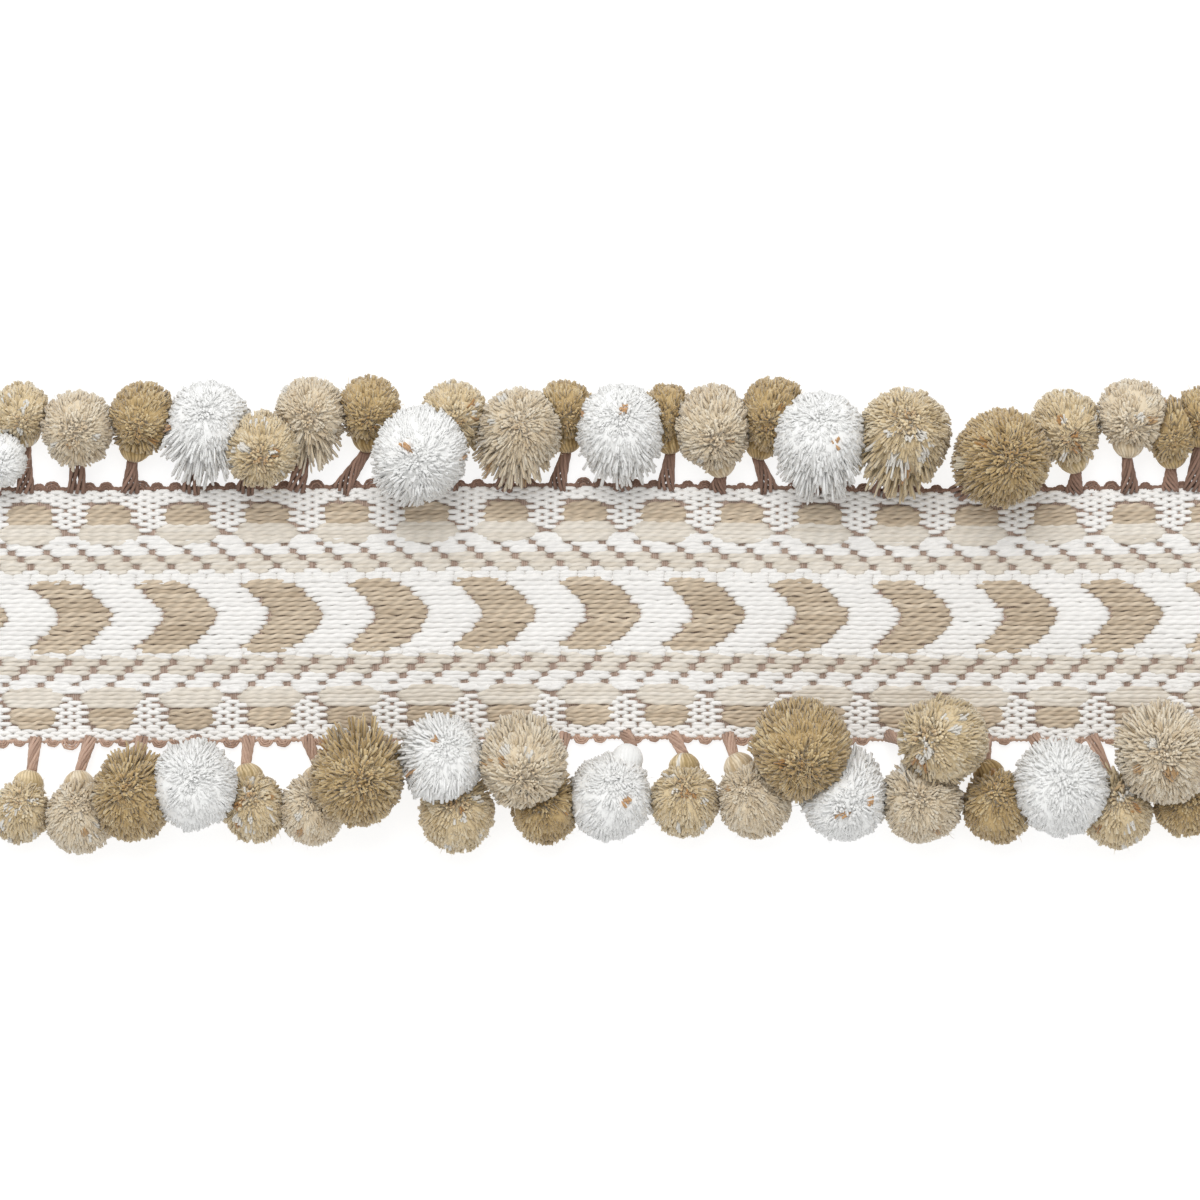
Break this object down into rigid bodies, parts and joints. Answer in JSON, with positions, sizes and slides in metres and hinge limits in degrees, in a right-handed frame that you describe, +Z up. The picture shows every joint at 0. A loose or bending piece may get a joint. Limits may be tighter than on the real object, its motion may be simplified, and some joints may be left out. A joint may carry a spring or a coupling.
{
  "type": "pompom fringe trim",
  "caption": "Wide woven trim tape with picot edges and hanger loops carrying bushy cut-yarn pompom tassels along both long edges.",
  "frame": {"origin": "centre of the tape's flat underside, which is the face that is sewn or glued down", "axes": "+X along the trim, +Y across it, +Z up from the surface that it lies on, towards its right side"},
  "size_m": [0.3, 0.1148, 0.0268],
  "materials": {
    "woven_tape": "matte cotton weave, white plain weave with tan and cream float yarns",
    "brown_thread": "twisted brown weft thread",
    "white_yarn": "soft cut yarn, matte",
    "beige_yarn": "soft cut yarn, matte",
    "olive_yarn": "soft cut yarn, matte",
    "speckled_yarn": "soft cut yarn, matte, mixed tan, white and rust"
  },
  "bodies": {
    "root": {"tape": "woven_tape", "comb_top": "brown_thread", "comb_bottom": "brown_thread", "tassel_top_01": "white_yarn", "tassel_top_02": "speckled_yarn", "tassel_top_03": "beige_yarn", "tassel_top_04": "olive_yarn", "tassel_top_05": "white_yarn", "tassel_top_06": "speckled_yarn", "tassel_top_07": "beige_yarn", "tassel_top_08": "olive_yarn", "tassel_top_09": "white_yarn", "tassel_top_10": "speckled_yarn", "tassel_top_11": "beige_yarn", "tassel_top_12": "olive_yarn", "tassel_top_13": "white_yarn", "tassel_top_14": "olive_yarn", "tassel_top_15": "beige_yarn", "tassel_top_16": "olive_yarn", "tassel_top_17": "white_yarn", "tassel_top_18": "speckled_yarn", "tassel_top_19": "olive_yarn", "tassel_top_20": "speckled_yarn", "tassel_top_21": "beige_yarn", "tassel_top_22": "olive_yarn", "tassel_top_23": "olive_yarn", "tassel_bottom_01": "speckled_yarn", "tassel_bottom_02": "beige_yarn", "tassel_bottom_03": "olive_yarn", "tassel_bottom_04": "white_yarn", "tassel_bottom_05": "speckled_yarn", "tassel_bottom_06": "beige_yarn", "tassel_bottom_07": "olive_yarn", "tassel_bottom_08": "white_yarn", "tassel_bottom_09": "speckled_yarn", "tassel_bottom_10": "beige_yarn", "tassel_bottom_11": "olive_yarn", "tassel_bottom_12": "white_yarn", "tassel_bottom_13": "speckled_yarn", "tassel_bottom_14": "beige_yarn", "tassel_bottom_15": "olive_yarn", "tassel_bottom_16": "white_yarn", "tassel_bottom_17": "beige_yarn", "tassel_bottom_18": "speckled_yarn", "tassel_bottom_19": "olive_yarn", "tassel_bottom_20": "white_yarn", "tassel_bottom_21": "speckled_yarn", "tassel_bottom_22": "beige_yarn", "tassel_bottom_23": "olive_yarn"}
  },
  "joints": []
}
